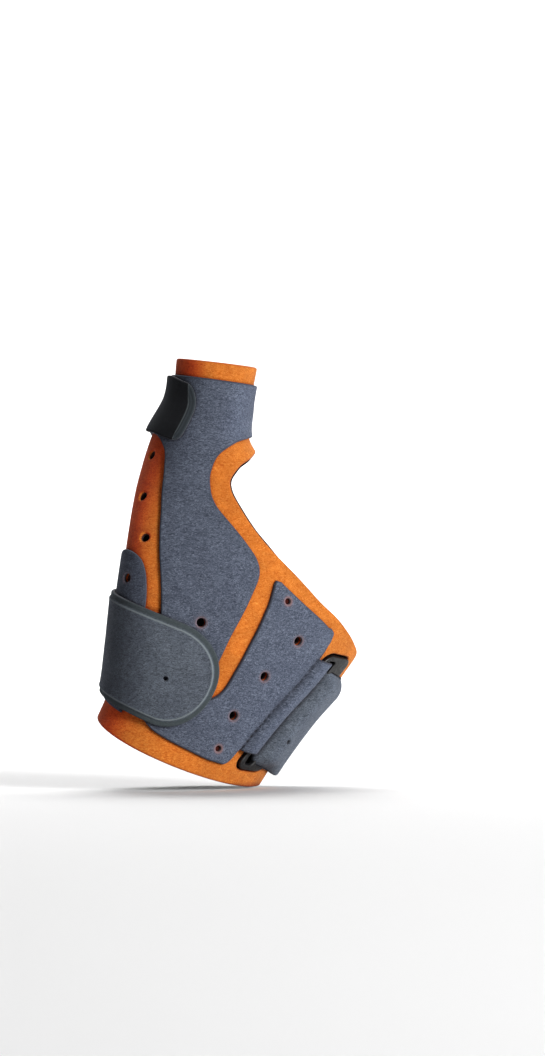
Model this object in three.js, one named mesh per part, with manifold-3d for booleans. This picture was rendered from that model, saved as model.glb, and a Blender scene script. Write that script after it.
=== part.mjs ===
// Thumb spica splint for a right hand, in its worn form, in millimetres.
// +Z is up along the thumb, -Y the side that shows the thumb and the back of the hand, +X the side of the
// little finger.
// The origin is the middle of the wrist, where the wearer's arm holds the splint.
//
// Every layer lies on one curved form. A place on the form is a turn, in degrees round the section (0 on the
// little-finger side, 90 at the front, 180 on the thumb side, 270 on the palm side), a level, from 0 at the
// wrist hem to 1 at the thumb rim, and a lift, in millimetres out from the shell's outer face.
import * as THREE from 'three';
import { mergeVertices } from 'three/addons/utils/BufferGeometryUtils.js';
import Module from 'manifold-3d';

const wasm = await Module();
wasm.setup();

// Driving dimensions
const splintLength = 137;
const wristBreadth = 59.2;
const wristDepth = 51;
const palmBreadth = 85.6;
const palmDepth = 47;
const thumbBreadth = 27.2;
const thumbDepth = 27.2;
const shellWall = 2.2;
const coverWall = 1.0;
const strapWall = 1.8;
const tabWall = 1.2;
const layerGap = 0.4;
const strapWidth = 35;
const tabWidth = 22;
const ringLength = 47.4;
const ringBar = 2.0;
const ringPlate = 7.8;
const ringGap = 4.0;
const ringThickness = 1.8;
const ringCorner = 3.2;
const ringClearance = 0.5;
const perforationBore = 3.0;
const eyeletBore = 2.0;
const pinholeBore = 1.5;

// Lifts of the layers, worked out from the walls
const coverInside = layerGap;
const coverOutside = coverInside + coverWall;
const overCover = coverOutside + layerGap;

// The ring's gap is as long as the ring without its end bars, and both cloths are cut to go through it
const gapLength = ringLength - 2 * ringBar;
const strapEndWidth = gapLength - 4.2;
const tongueWidth = gapLength - 5;

// Sections of the form, from the hem up to the thumb rim. across and up place the middle of each one as
// shares of the length. breadth and depth are its size, tilt turns its level line down on the little-finger
// side, lean swings that side back and sag drops the front, both as shares of the depth.
const sectionColumns = ['level', 'across', 'up', 'breadth', 'depth', 'tilt', 'lean', 'sag'];
const sections = [
  [0.000, -0.079, -0.171, 1.00 * wristBreadth, 1.00 * wristDepth, 23.0, 0.20, 0.090],
  [0.069, -0.045, -0.106, 1.033 * wristBreadth, 0.98 * wristDepth, 21.5, 0.20, 0.094],
  [0.186, 0.000, 0.000, 1.17 * wristBreadth, 0.98 * wristDepth, 21.0, 0.28, 0.080],
  [0.308, 0.050, 0.109, 0.93 * palmBreadth, 1.04 * palmDepth, 20.0, 0.36, 0.050],
  [0.429, 0.090, 0.223, 1.00 * palmBreadth, 1.00 * palmDepth, 18.0, 0.38, 0.020],
  [0.548, 0.074, 0.340, 0.89 * palmBreadth, 0.90 * palmDepth, 16.5, 0.28, 0.000],
  [0.669, 0.031, 0.453, 0.68 * palmBreadth, 0.81 * palmDepth, 13.0, 0.16, 0.000],
  [0.817, -0.021, 0.592, 1.23 * thumbBreadth, 1.22 * thumbDepth, 8.5, 0.00, 0.000],
  [0.904, -0.002, 0.677, 0.98 * thumbBreadth, 1.02 * thumbDepth, 8.4, 0.00, 0.000],
  [1.000, 0.013, 0.777, 1.00 * thumbBreadth, 1.00 * thumbDepth, 6.8, 0.00, 0.000],
].map((row) => Object.fromEntries(row.map((value, i) => [sectionColumns[i], value])));

// Edges cut in the layers, each row from turn to turn at one level, from the wrist up.
// The window lets the fingers out and runs on to the hem as the open side of the wrist.
const windowRows = [
  { level: -0.06, from: 8, to: -72 },
  { level: 0.05, from: 8, to: -72 },
  { level: 0.20, from: 7, to: -72 },
  { level: 0.30, from: 5, to: -71 },
  { level: 0.345, from: 6, to: -70 },
  { level: 0.368, from: 10, to: -68.5 },
  { level: 0.387, from: 21, to: -67 },
  { level: 0.412, from: 33, to: -64 },
  { level: 0.437, from: 43, to: -63 },
  { level: 0.462, from: 53, to: -64 },
  { level: 0.508, from: 64, to: -68 },
  { level: 0.554, from: 74, to: -74 },
  { level: 0.596, from: 79, to: -79 },
  { level: 0.650, from: 81.5, to: -81.5 },
  { level: 0.690, from: 82, to: -82 },
  { level: 0.724, from: 76, to: -76 },
  { level: 0.762, from: 58, to: -58 },
  { level: 0.785, from: 36, to: -36 },
  { level: 0.798, from: 18, to: -18 },
  { level: 0.803, from: 3, to: -3 },
];
// What the thumb panel leaves bare beside the window
const marginRows = [
  { level: 0.090, from: 130, to: -93 },
  { level: 0.128, from: 109, to: -93 },
  { level: 0.150, from: 99.5, to: -92.5 },
  { level: 0.175, from: 93.6, to: -92 },
  { level: 0.210, from: 91.8, to: -92 },
  { level: 0.270, from: 91.6, to: -91.5 },
  { level: 0.340, from: 90.8, to: -91 },
  { level: 0.42, from: 88.5, to: -89 },
  { level: 0.48, from: 84.5, to: -86 },
  { level: 0.514, from: 84.5, to: -86 },
  { level: 0.547, from: 88, to: -88 },
  { level: 0.592, from: 94, to: -94 },
  { level: 0.632, from: 98.5, to: -98.5 },
  { level: 0.676, from: 98.5, to: -98.5 },
  { level: 0.726, from: 93, to: -93 },
  { level: 0.778, from: 78, to: -78 },
  { level: 0.814, from: 52, to: -52 },
  { level: 0.830, from: 26, to: -26 },
  { level: 0.836, from: 4, to: -4 },
];
// The bare perforated tongue on the thumb side, between the two legs of the thumb panel
const tongueRows = [
  { level: 0.06, from: 124, to: 220 },
  { level: 0.20, from: 125, to: 219 },
  { level: 0.312, from: 127.7, to: 216 },
  { level: 0.459, from: 136.5, to: 207 },
  { level: 0.596, from: 136.5, to: 207 },
  { level: 0.700, from: 134, to: 210 },
  { level: 0.758, from: 133, to: 211 },
  { level: 0.786, from: 138, to: 206 },
  { level: 0.803, from: 147, to: 197 },
  { level: 0.810, from: 160, to: 184 },
];
// The panel on the back of the wrist, with its foot under the strap and its point beside the window
const dorsalRows = [
  { level: 0.042, from: 63, to: 73 },
  { level: 0.047, from: 61, to: 86 },
  { level: 0.058, from: 59.5, to: 112 },
  { level: 0.080, from: 58, to: 123 },
  { level: 0.098, from: 56, to: 122 },
  { level: 0.112, from: 54, to: 114 },
  { level: 0.128, from: 52.2, to: 104 },
  { level: 0.148, from: 51.2, to: 96 },
  { level: 0.172, from: 50.3, to: 89.5 },
  { level: 0.190, from: 49.6, to: 85 },
  { level: 0.215, from: 48.7, to: 82.7 },
  { level: 0.262, from: 47, to: 82 },
  { level: 0.340, from: 45, to: 81.2 },
  { level: 0.393, from: 44.8, to: 80.8 },
  { level: 0.408, from: 48, to: 80.4 },
  { level: 0.440, from: 62, to: 79.3 },
  { level: 0.466, from: 71, to: 77.8 },
  { level: 0.477, from: 74, to: 76.5 },
];
// The round-topped panel on the thumb side
const radialRows = [
  { level: 0.060, from: 140, to: 186 },
  { level: 0.200, from: 139, to: 187 },
  { level: 0.312, from: 138.5, to: 187 },
  { level: 0.380, from: 142, to: 184 },
  { level: 0.417, from: 147, to: 179 },
  { level: 0.431, from: 153, to: 173 },
  { level: 0.436, from: 160, to: 166 },
];

// Holes: where they are on the form and what they go through
const perforations = [
  { turn: 155, level: 0.746 },
  { turn: 157, level: 0.603 },
  { turn: 149, level: 0.483 },
  { turn: 188, level: 0.489 },
  { turn: 159, level: 0.367 },
  { turn: 106.5, level: 0.333 },
  { turn: 61, level: 0.362 },
  { turn: 67.6, level: 0.266 },
  { turn: 71.7, level: 0.159 },
];
const eyelets = [
  { turn: 71.6, level: 0.438 },
  { turn: 70.7, level: 0.074 },
];
const pinholes = [
  { turn: 115, level: 0.186 },
  { turn: 28.5, level: 0.130 },
];

// Where the strap, the tab and the ring lie on the form
const strapLevel = 0.195;
const strapEndLevel = 0.191;
const strapEndSlope = 0.0012;
const strapSideLevel = 0.154;
const strapTailTurn = -272;
const foldEndTurn = -32;
const palmEdgeTurn = -72;
const tabLevel = 0.884;
const tabDrop = 0.018;
const tabFrom = 235;
const tabEnd = 106;
const ringLevel = 0.1975;
const ringTurn = 38.9;
const ringSlant = -37;
const tongueLevel = 0.2105;

// Value of a named column at a share of the way through a table, on a smooth curve through its rows
function along(rows, column, share) {
  const last = rows.length - 1;
  const reach = THREE.MathUtils.clamp(share, 0, 1) * last;
  const i = Math.min(Math.floor(reach), last - 1);
  const t = reach - i;
  const before = rows[Math.max(i - 1, 0)][column];
  const start = rows[i][column];
  const end = rows[i + 1][column];
  const after = rows[Math.min(i + 2, last)][column];
  const slopeIn = (end - before) / 2;
  const slopeOut = (after - start) / 2;
  return (2 * t ** 3 - 3 * t ** 2 + 1) * start + (t ** 3 - 2 * t ** 2 + t) * slopeIn
    + (3 * t ** 2 - 2 * t ** 3) * end + (t ** 3 - t ** 2) * slopeOut;
}

// Section of the form at a level, smooth from row to row and straight on past both ends
function sectionAt(level) {
  const last = sections.length - 1;
  const inside = THREE.MathUtils.clamp(level, 0, 1);
  let i = 0;
  while (i < last - 1 && sections[i + 1].level <= inside) i += 1;
  const low = sections[i];
  const high = sections[i + 1];
  const under = sections[Math.max(i - 1, 0)];
  const over = sections[Math.min(i + 2, last)];
  const step = high.level - low.level;
  const t = (inside - low.level) / step;
  const result = {};
  for (const column of ['across', 'up', 'breadth', 'depth', 'tilt', 'lean', 'sag']) {
    const slopeIn = (high[column] - under[column]) / (high.level - under.level);
    const slopeOut = (over[column] - low[column]) / (over.level - low.level);
    const value = (2 * t ** 3 - 3 * t ** 2 + 1) * low[column] + (t ** 3 - 2 * t ** 2 + t) * step * slopeIn
      + (3 * t ** 2 - 2 * t ** 3) * high[column] + (t ** 3 - t ** 2) * step * slopeOut;
    const slope = level < 0 ? slopeIn : slopeOut;
    result[column] = value + (level - inside) * slope;
  }
  return result;
}

// Point of the shell's outer face
function onForm(turn, level) {
  const s = sectionAt(level);
  const a = THREE.MathUtils.degToRad(turn);
  const tilt = THREE.MathUtils.degToRad(s.tilt);
  const side = s.breadth / 2 * Math.cos(a);
  const drop = s.sag * s.depth * Math.sin(a);
  return new THREE.Vector3(
    s.across * splintLength + side * Math.cos(tilt) - drop * Math.sin(tilt),
    s.lean * s.depth * Math.cos(a) - s.depth / 2 * Math.sin(a),
    s.up * splintLength - side * Math.sin(tilt) - drop * Math.cos(tilt),
  );
}

// Outward direction of the form
function outward(turn, level) {
  const turnStep = 0.2;
  const levelStep = 0.002;
  const round = onForm(turn + turnStep, level).sub(onForm(turn - turnStep, level));
  const rise = onForm(turn, level + levelStep).sub(onForm(turn, level - levelStep));
  return rise.cross(round).normalize();
}

// Point at a lift above the form
function place(turn, level, lift) {
  return onForm(turn, level).addScaledVector(outward(turn, level), lift);
}

// Millimetres round the form for one degree, and up the form for one whole level
function roundPerDegree(turn, level) {
  return onForm(turn + 1, level).distanceTo(onForm(turn - 1, level)) / 2;
}
function risePerLevel(turn, level) {
  const step = 0.01;
  return onForm(turn, level + step).distanceTo(onForm(turn, level - step)) / (2 * step);
}

// Closed mesh from points and triangles, with equal points joined and flat slivers dropped
function closedGeometry(points, triangles) {
  const corners = triangles.flat().flatMap((i) => points[i].toArray());
  const loose = new THREE.BufferGeometry();
  loose.setAttribute('position', new THREE.Float32BufferAttribute(corners, 3));
  const joined = mergeVertices(loose, 1e-4);
  const index = joined.index.array;
  const kept = [];
  for (let i = 0; i < index.length; i += 3) {
    const [a, b, c] = [index[i], index[i + 1], index[i + 2]];
    if (a !== b && b !== c && c !== a) kept.push(a, b, c);
  }
  joined.setIndex(kept);
  return joined;
}

// A sheet of cloth on the form. spot gives its turn and level at two shares, lifts its inside and outside.
function sheet({ rows, columns, spot, lifts, loop = false }) {
  const points = [];
  const triangles = [];
  for (let i = 0; i <= rows; i += 1) {
    for (let j = 0; j <= columns; j += 1) {
      const { turn, level } = spot(i / rows, j / columns);
      const { inside, outside } = lifts(turn, level);
      points.push(place(turn, level, outside), place(turn, level, inside));
    }
  }
  const outer = (i, j) => 2 * (i * (columns + 1) + j);
  const inner = (i, j) => outer(i, j) + 1;
  const quad = (a, b, c, d) => triangles.push([a, b, c], [a, c, d]);
  for (let i = 0; i < rows; i += 1) {
    for (let j = 0; j < columns; j += 1) {
      quad(outer(i, j), outer(i, j + 1), outer(i + 1, j + 1), outer(i + 1, j));
      quad(inner(i, j), inner(i + 1, j), inner(i + 1, j + 1), inner(i, j + 1));
    }
    if (!loop) {
      quad(outer(i, 0), outer(i + 1, 0), inner(i + 1, 0), inner(i, 0));
      quad(outer(i + 1, columns), outer(i, columns), inner(i, columns), inner(i + 1, columns));
    }
  }
  for (let j = 0; j < columns; j += 1) {
    quad(outer(0, j + 1), outer(0, j), inner(0, j), inner(0, j + 1));
    quad(outer(rows, j), outer(rows, j + 1), inner(rows, j + 1), inner(rows, j));
  }
  return solid(closedGeometry(points, triangles));
}

// A profile of turn offsets in millimetres and lifts, run along the ring's line from level to level. slope is
// how many levels it rises for each millimetre beside the line.
function run({ profile, fromLevel, toLevel, rows, slope = 0 }) {
  const points = [];
  const triangles = [];
  const count = profile.length;
  for (let i = 0; i <= rows; i += 1) {
    const level = THREE.MathUtils.lerp(fromLevel, toLevel, i / rows);
    for (const corner of profile) {
      points.push(place(besideRing(level, corner.x), level + slope * corner.x, corner.y));
    }
  }
  for (let i = 0; i < rows; i += 1) {
    for (let j = 0; j < count; j += 1) {
      const next = (j + 1) % count;
      const [a, b] = [i * count + j, i * count + next];
      const [c, d] = [a + count, b + count];
      triangles.push([a, b, d], [a, d, c]);
    }
  }
  const top = rows * count;
  for (const [a, b, c] of THREE.ShapeUtils.triangulateShape(profile, [])) {
    triangles.push([a, c, b], [top + a, top + b, top + c]);
  }
  return solid(closedGeometry(points, triangles));
}

// Solid of the cutting and joining library from a closed mesh, its faces turned outward
function solid(geometry) {
  const make = (index) => new wasm.Manifold(new wasm.Mesh({
    numProp: 3,
    vertProperties: new Float32Array(geometry.attributes.position.array),
    triVerts: new Uint32Array(index),
  }));
  const index = Array.from(geometry.index.array);
  const first = make(index);
  if (first.volume() > 0) return first;
  const flipped = [];
  for (let i = 0; i < index.length; i += 3) flipped.push(index[i], index[i + 2], index[i + 1]);
  return make(flipped);
}

// The ring lies beside its line: a slim bar for the panel's tongue, a gap through which both cloths go, and a
// broad bar for the strap's end
const slimBar = { near: 2.3, far: 2.3 + ringBar };
const broadBar = { near: ringGap - slimBar.near, far: ringGap - slimBar.near + ringPlate };
const ringWidth = slimBar.far + broadBar.far;
const ringMiddle = (slimBar.far - broadBar.far) / 2;

// Turn of the ring's line at a level, and the turn that lies some millimetres beside it
function ringLine(level) {
  return ringTurn + ringSlant * (level - ringLevel);
}
function besideRing(level, offset) {
  const middle = ringLine(level);
  return middle + offset / roundPerDegree(middle + offset, level);
}

// Pieces of cloth cut to a table of edges
function panel(table, rows, columns, inside, outside) {
  return sheet({
    rows,
    columns,
    spot: (s, t) => ({
      turn: THREE.MathUtils.lerp(along(table, 'from', s), along(table, 'to', s), t),
      level: along(table, 'level', s),
    }),
    lifts: () => ({ inside, outside }),
  });
}

// A whole tube of the form between two levels
function tube(fromLevel, toLevel, rows, columns, inside, outside) {
  return sheet({
    rows,
    columns,
    loop: true,
    spot: (s, t) => ({ turn: 360 * (t % 1), level: THREE.MathUtils.lerp(fromLevel, toLevel, s) }),
    lifts: () => ({ inside, outside }),
  });
}

// Cutter for a table of edges, deep enough to pass through any layer
const cutDepth = 5;
function cutter(table, rows, columns) {
  return panel(table, rows, columns, -shellWall - cutDepth, cutDepth);
}

// Round hole square to the form
const holeSides = 8;
function drill(hole, bore) {
  const depth = 2 * (shellWall + cutDepth);
  const geometry = new THREE.CylinderGeometry(bore / 2, bore / 2, depth, holeSides);
  const up = new THREE.Vector3(0, 1, 0);
  const facing = new THREE.Quaternion().setFromUnitVectors(up, outward(hole.turn, hole.level));
  const middle = onForm(hole.turn, hole.level);
  geometry.applyQuaternion(facing).translate(middle.x, middle.y, middle.z);
  geometry.deleteAttribute('normal');
  geometry.deleteAttribute('uv');
  return solid(mergeVertices(geometry, 1e-4));
}
function drilled(body, holes, bore) {
  return holes.reduce((rest, hole) => rest.subtract(drill(hole, bore)), body);
}

// Level as far above a middle level as a length up the form
function levelBeside(turn, level, length) {
  return level + length / risePerLevel(turn, level);
}

// Flat plate with round corners beside the ring's line, from which the ring and its cut-out are made
function plate({ middle, width, length, corner, inside, outside }) {
  const middleTurn = ringLine(ringLevel);
  const levels = length / risePerLevel(middleTurn, ringLevel);
  return sheet({
    rows: 14,
    columns: 4,
    spot: (s, t) => {
      const share = (1 - Math.cos(Math.PI * s)) / 2;
      const level = ringLevel + levels * (share - 0.5);
      const fromEnd = Math.min(Math.min(share, 1 - share) * length / corner, 1);
      const half = width / 2 - corner * (1 - Math.sqrt(1 - (1 - fromEnd) ** 2));
      return { turn: besideRing(level, middle + half * (1 - 2 * t)), level };
    },
    lifts: () => ({ inside, outside }),
  });
}

// Shell, whole at first and then opened, slotted for the ring and perforated
function makeShell() {
  const whole = tube(0, 1, 20, 40, -shellWall, 0);
  const open = whole.subtract(cutter(windowRows, 28, 6));
  const slot = plate({
    middle: ringMiddle,
    width: ringWidth + 2 * ringClearance,
    length: ringLength + 2 * ringClearance,
    corner: ringCorner,
    inside: -shellWall - cutDepth,
    outside: cutDepth,
  });
  return drilled(open.subtract(slot), perforations, perforationBore);
}

// Thumb panel, from its legs' ends under the strap up to the bare band at the thumb rim
const legEnd = 0.125;
const bandStart = 0.960;
function makeThumbPanel() {
  const whole = tube(legEnd, bandStart, 16, 40, coverInside, coverOutside);
  const open = whole.subtract(cutter(marginRows, 28, 6)).subtract(cutter(tongueRows, 18, 4));
  return drilled(open, perforations, perforationBore);
}

// Cloth folded round one bar of the ring: side 1 is the panel's tongue on the slim bar, side -1 the strap's
// end on the broad one. The fold grows out of the flat cloth, whose lifts are given, and its flap ends under
// the bar.
const foldReach = 3.5;
const foldRoundSteps = 3;
function foldProfile(side, bar, wall, flapWall, flat) {
  const barFar = bar.far + layerGap;
  const barNear = bar.near - layerGap;
  const face = ringThickness / 2 + layerGap;
  const root = bar.far + ringClearance + foldReach;
  const middle = (barNear + barFar) / 2;
  const round = wall * 0.6;
  const bury = wall / 4;
  const flapEnd = bar.near + ringBar;
  const profile = new THREE.Shape();
  profile.moveTo(side * root, flat.inside + bury);
  profile.lineTo(side * root, flat.outside - bury);
  profile.lineTo(side * barFar, Math.max(face + wall, flat.outside));
  profile.lineTo(side * middle, face + wall);
  profile.lineTo(side * (barNear - wall + round), face + wall);
  const under = -face - flapWall;
  const lip = side * (barNear - wall);
  profile.quadraticCurveTo(lip, face + wall, lip, face + wall - round);
  profile.lineTo(lip, under + round);
  profile.quadraticCurveTo(lip, under, side * (barNear - wall + round), under);
  profile.lineTo(side * flapEnd, under);
  profile.lineTo(side * flapEnd, -face);
  profile.lineTo(side * barNear, -face);
  profile.lineTo(side * barNear, face);
  profile.lineTo(side * middle, face);
  profile.lineTo(side * barFar, face);
  const points = profile.getPoints(foldRoundSteps);
  return side > 0 ? points : points.reverse();
}
function makeDorsalPanel() {
  const flat = panel(dorsalRows, 34, 6, coverInside, coverOutside);
  const edge = { inside: coverInside, outside: coverOutside };
  const fold = run({
    profile: foldProfile(1, slimBar, coverWall, coverWall, edge),
    fromLevel: levelBeside(ringTurn, tongueLevel, -tongueWidth / 2),
    toLevel: levelBeside(ringTurn, tongueLevel, tongueWidth / 2),
    rows: 10,
  });
  return drilled(drilled(flat.add(fold), perforations, perforationBore), eyelets, eyeletBore);
}

function makeRadialPanel() {
  return drilled(panel(radialRows, 13, 6, coverInside, coverOutside), perforations, perforationBore);
}

// Rounded end: half the width left at a share of the rounding, for the strap's tail and the tab
function roundedHalf(left, power) {
  if (left >= 1) return 1;
  return Math.max(1 - (1 - left) ** power, 0.004) ** (1 / power);
}

function easing(from, to, value) {
  return THREE.MathUtils.smoothstep(value, from, to);
}
function makeTab() {
  const rounding = 20;
  return sheet({
    rows: 20,
    columns: 4,
    spot: (s, t) => {
      const turn = THREE.MathUtils.lerp(tabFrom, tabEnd, Math.sin(Math.PI / 2 * s));
      const half = tabWidth / 2 * roundedHalf((turn - tabEnd) / rounding, 2);
      const middle = tabLevel - tabDrop * (1 - easing(tabEnd, 165, turn));
      return { turn, level: levelBeside(turn, middle, half * (1 - 2 * t)) };
    },
    lifts: () => ({ inside: overCover, outside: overCover + tabWall }),
  });
}

function makeRing() {
  const whole = plate({
    middle: ringMiddle,
    width: ringWidth,
    length: ringLength,
    corner: ringCorner,
    inside: -ringThickness / 2,
    outside: ringThickness / 2,
  });
  const gap = plate({
    middle: slimBar.near - ringGap / 2,
    width: ringGap,
    length: gapLength,
    corner: ringBar / 2,
    inside: -ringThickness,
    outside: ringThickness,
  });
  return whole.subtract(gap);
}

// Wrist strap: a doubled, broader end folded on the ring, one layer round the open side and the palm, and a
// round tail
const doubledShare = 0.75;
function strapLifts(turn) {
  const onCovers = 1 - easing(palmEdgeTurn - 20, palmEdgeTurn + 5, turn);
  const inside = THREE.MathUtils.lerp(layerGap, overCover, onCovers);
  const doubled = easing(foldEndTurn - 10, foldEndTurn + 4, turn);
  return { inside, outside: inside + strapWall * (1 + doubledShare * doubled) };
}
function strapWidthAt(turn) {
  return THREE.MathUtils.lerp(strapWidth, strapEndWidth, easing(2, 19, turn));
}
const strapStart = broadBar.far + ringClearance + foldReach / 2;
function strapMiddleAt(turn) {
  const onSide = THREE.MathUtils.lerp(strapLevel, strapSideLevel, easing(palmEdgeTurn, 0, turn));
  return THREE.MathUtils.lerp(onSide, strapEndLevel - strapEndSlope * strapStart, easing(2, 19, turn));
}
function makeStrap() {
  const besideFold = (level) => besideRing(level + strapEndSlope * strapStart, -strapStart);
  const start = besideFold(strapEndLevel);
  const tailRounding = strapWidth / 2 / roundPerDegree(strapTailTurn - 15 + 360, strapLevel);
  const body = sheet({
    rows: 46,
    columns: 4,
    spot: (s, t) => {
      const eased = s < 0.8 ? s : 0.8 + 0.2 * Math.sin(Math.PI / 2 * (s - 0.8) / 0.2);
      const turn = THREE.MathUtils.lerp(start, strapTailTurn, eased);
      const half = strapWidthAt(turn) / 2 * roundedHalf((turn - strapTailTurn) / tailRounding, 2);
      const level = levelBeside(turn, strapMiddleAt(turn), half * (1 - 2 * t));
      return { turn: turn + (besideFold(level) - start) * (1 - easing(0, 0.14, s)), level };
    },
    lifts: strapLifts,
  });
  const flat = { inside: layerGap, outside: strapLifts(ringTurn).outside };
  const fold = run({
    profile: foldProfile(-1, broadBar, strapWall, coverWall, flat),
    fromLevel: levelBeside(ringTurn, strapEndLevel, -strapEndWidth / 2),
    toLevel: levelBeside(ringTurn, strapEndLevel, strapEndWidth / 2),
    rows: 10,
    slope: strapEndSlope,
  });
  return drilled(body.add(fold), pinholes, pinholeBore);
}

// Materials
const orange = { color: 0xd28d40, roughness: 0.9, metalness: 0 };
const grey = { color: 0x525a68, roughness: 0.95, metalness: 0 };
const strapGrey = { color: 0x555c66, roughness: 0.95, metalness: 0 };
const charcoal = { color: 0x1e1f22, roughness: 0.9, metalness: 0 };
const black = { color: 0x0c0c0d, roughness: 0.5, metalness: 0 };

// Named mesh from a solid
function piece(name, body, finish) {
  const { vertProperties, triVerts } = body.getMesh();
  const geometry = new THREE.BufferGeometry();
  geometry.setAttribute('position', new THREE.BufferAttribute(new Float32Array(vertProperties), 3));
  geometry.setIndex(new THREE.BufferAttribute(new Uint32Array(triVerts), 1));
  geometry.computeVertexNormals();
  const mesh = new THREE.Mesh(geometry, new THREE.MeshStandardMaterial(finish));
  mesh.name = name;
  return mesh;
}

const group = new THREE.Group();
group.add(
  piece('base_shell', makeShell(), orange),
  piece('thumb_panel', makeThumbPanel(), grey),
  piece('dorsal_panel', makeDorsalPanel(), grey),
  piece('radial_panel', makeRadialPanel(), grey),
  piece('thumb_tab', makeTab(), charcoal),
  piece('strap_ring', makeRing(), black),
  piece('wrist_strap', makeStrap(), strapGrey),
);

export default group;
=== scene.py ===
import bmesh
import bpy
import numpy as np
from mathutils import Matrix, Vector, geometry, kdtree


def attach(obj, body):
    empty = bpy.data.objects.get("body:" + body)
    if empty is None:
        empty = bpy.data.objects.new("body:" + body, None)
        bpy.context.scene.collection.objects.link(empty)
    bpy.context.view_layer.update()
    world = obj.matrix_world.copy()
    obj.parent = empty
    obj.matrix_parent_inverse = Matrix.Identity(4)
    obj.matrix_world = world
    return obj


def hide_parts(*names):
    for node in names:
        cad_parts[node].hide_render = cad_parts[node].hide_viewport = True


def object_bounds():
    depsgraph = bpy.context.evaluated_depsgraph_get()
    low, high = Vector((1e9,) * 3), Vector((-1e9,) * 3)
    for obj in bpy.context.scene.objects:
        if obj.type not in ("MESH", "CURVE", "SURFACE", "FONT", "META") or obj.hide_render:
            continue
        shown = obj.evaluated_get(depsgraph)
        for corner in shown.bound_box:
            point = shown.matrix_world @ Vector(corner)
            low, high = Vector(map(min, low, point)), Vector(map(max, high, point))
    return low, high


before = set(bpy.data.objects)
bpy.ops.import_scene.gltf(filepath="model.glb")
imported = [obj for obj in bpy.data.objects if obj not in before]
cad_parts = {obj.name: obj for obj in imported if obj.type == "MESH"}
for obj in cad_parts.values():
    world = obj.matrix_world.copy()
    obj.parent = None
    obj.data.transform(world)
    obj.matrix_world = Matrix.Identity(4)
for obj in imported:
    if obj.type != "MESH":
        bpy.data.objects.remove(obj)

cad_box = [list(corner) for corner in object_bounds()]

# Base shell: one wrap of orange velour on a thin foam with a dark back, moulded round the wrist, the palm
# and the thumb. It is cut out with a die, so its edges, its slot and its holes show the bare foam.
MM = 0.001
SPLINT_LENGTH = 137

# A place on the form is a turn round the section (degrees, 0 on the little-finger side, 90 at the front,
# 180 on the thumb side), a level from hem to thumb rim, and a lift, in millimetres as all lengths here are.
SECTIONS = np.array([
    # level, across, up, breadth, depth, tilt, lean, sag
    [0.000, -0.079, -0.171, 59.2, 51.0, 23.0, 0.20, 0.090],
    [0.069, -0.045, -0.106, 61.2, 50.0, 21.5, 0.20, 0.094],
    [0.186, 0.000, 0.000, 69.3, 50.0, 21.0, 0.28, 0.080],
    [0.308, 0.050, 0.109, 79.6, 48.9, 20.0, 0.36, 0.050],
    [0.429, 0.090, 0.223, 85.6, 47.0, 18.0, 0.38, 0.020],
    [0.548, 0.074, 0.340, 76.2, 42.3, 16.5, 0.28, 0.000],
    [0.669, 0.031, 0.453, 58.2, 38.1, 13.0, 0.16, 0.000],
    [0.817, -0.021, 0.592, 33.5, 33.2, 8.5, 0.00, 0.000],
    [0.904, -0.002, 0.677, 26.7, 27.7, 8.4, 0.00, 0.000],
    [1.000, 0.013, 0.777, 27.2, 27.2, 6.8, 0.00, 0.000],
])


def smooth_value(low, high, slope_in, slope_out, t):
    """The value at a share t of a smooth step with these slopes at its two ends."""
    return ((2 * t**3 - 3 * t**2 + 1) * low + (t**3 - 2 * t**2 + t) * slope_in
            + (3 * t**2 - 2 * t**3) * high + (t**3 - t**2) * slope_out)


def section_at(level):
    """The columns of the section at a level, smooth from row to row and straight on past both ends."""
    inside = np.clip(level, 0, 1)
    last = len(SECTIONS) - 1
    i = np.clip(np.searchsorted(SECTIONS[:, 0], inside, side="right") - 1, 0, last - 1)
    low, high = SECTIONS[i], SECTIONS[i + 1]
    under, over = SECTIONS[np.maximum(i - 1, 0)], SECTIONS[np.minimum(i + 2, last)]
    step = high[:, :1] - low[:, :1]
    slope_in = (high - under) / (high[:, :1] - under[:, :1])
    slope_out = (over - low) / (over[:, :1] - low[:, :1])
    t = (inside[:, None] - low[:, :1]) / step
    value = smooth_value(low, high, step * slope_in, step * slope_out, t)
    slope = np.where(level[:, None] < 0, slope_in, slope_out)
    return (value + (level - inside)[:, None] * slope).T


def on_form(turn, level):
    """The point of the shell's outer face."""
    _, across, up, breadth, depth, tilt, lean, sag = section_at(level)
    a, tilt = np.radians(turn), np.radians(tilt)
    side, drop = breadth / 2 * np.cos(a), sag * depth * np.sin(a)
    return np.stack([
        across * SPLINT_LENGTH + side * np.cos(tilt) - drop * np.sin(tilt),
        lean * depth * np.cos(a) - depth / 2 * np.sin(a),
        up * SPLINT_LENGTH - side * np.sin(tilt) - drop * np.cos(tilt),
    ], axis=1)


def unit(vectors):
    return vectors / np.linalg.norm(vectors, axis=1, keepdims=True)


TURN_STEP, LEVEL_STEP = 0.2, 0.002  # small steps that show which way the form runs


def place(turn, level, lift):
    """The point at a lift above the form."""
    round_form = on_form(turn + TURN_STEP, level) - on_form(turn - TURN_STEP, level)
    up_form = on_form(turn, level + LEVEL_STEP) - on_form(turn, level - LEVEL_STEP)
    return on_form(turn, level) + unit(np.cross(up_form, round_form)) * np.reshape(lift, (-1, 1))


FORM_CHART = (0.5, 125.0)  # about how many millimetres a degree and a whole level are


def cloth_axes(lay, chart, spots):
    """Where a small step in each of the chart's two directions leads, at these spots."""
    u, v = spots.T
    du, dv, flat = 0.1 / chart[0], 0.25 / chart[1], np.zeros(len(spots))
    return ((lay(u + du, v, flat) - lay(u - du, v, flat)) / (2 * du),
            (lay(u, v + dv, flat) - lay(u, v - dv, flat)) / (2 * dv))


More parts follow.
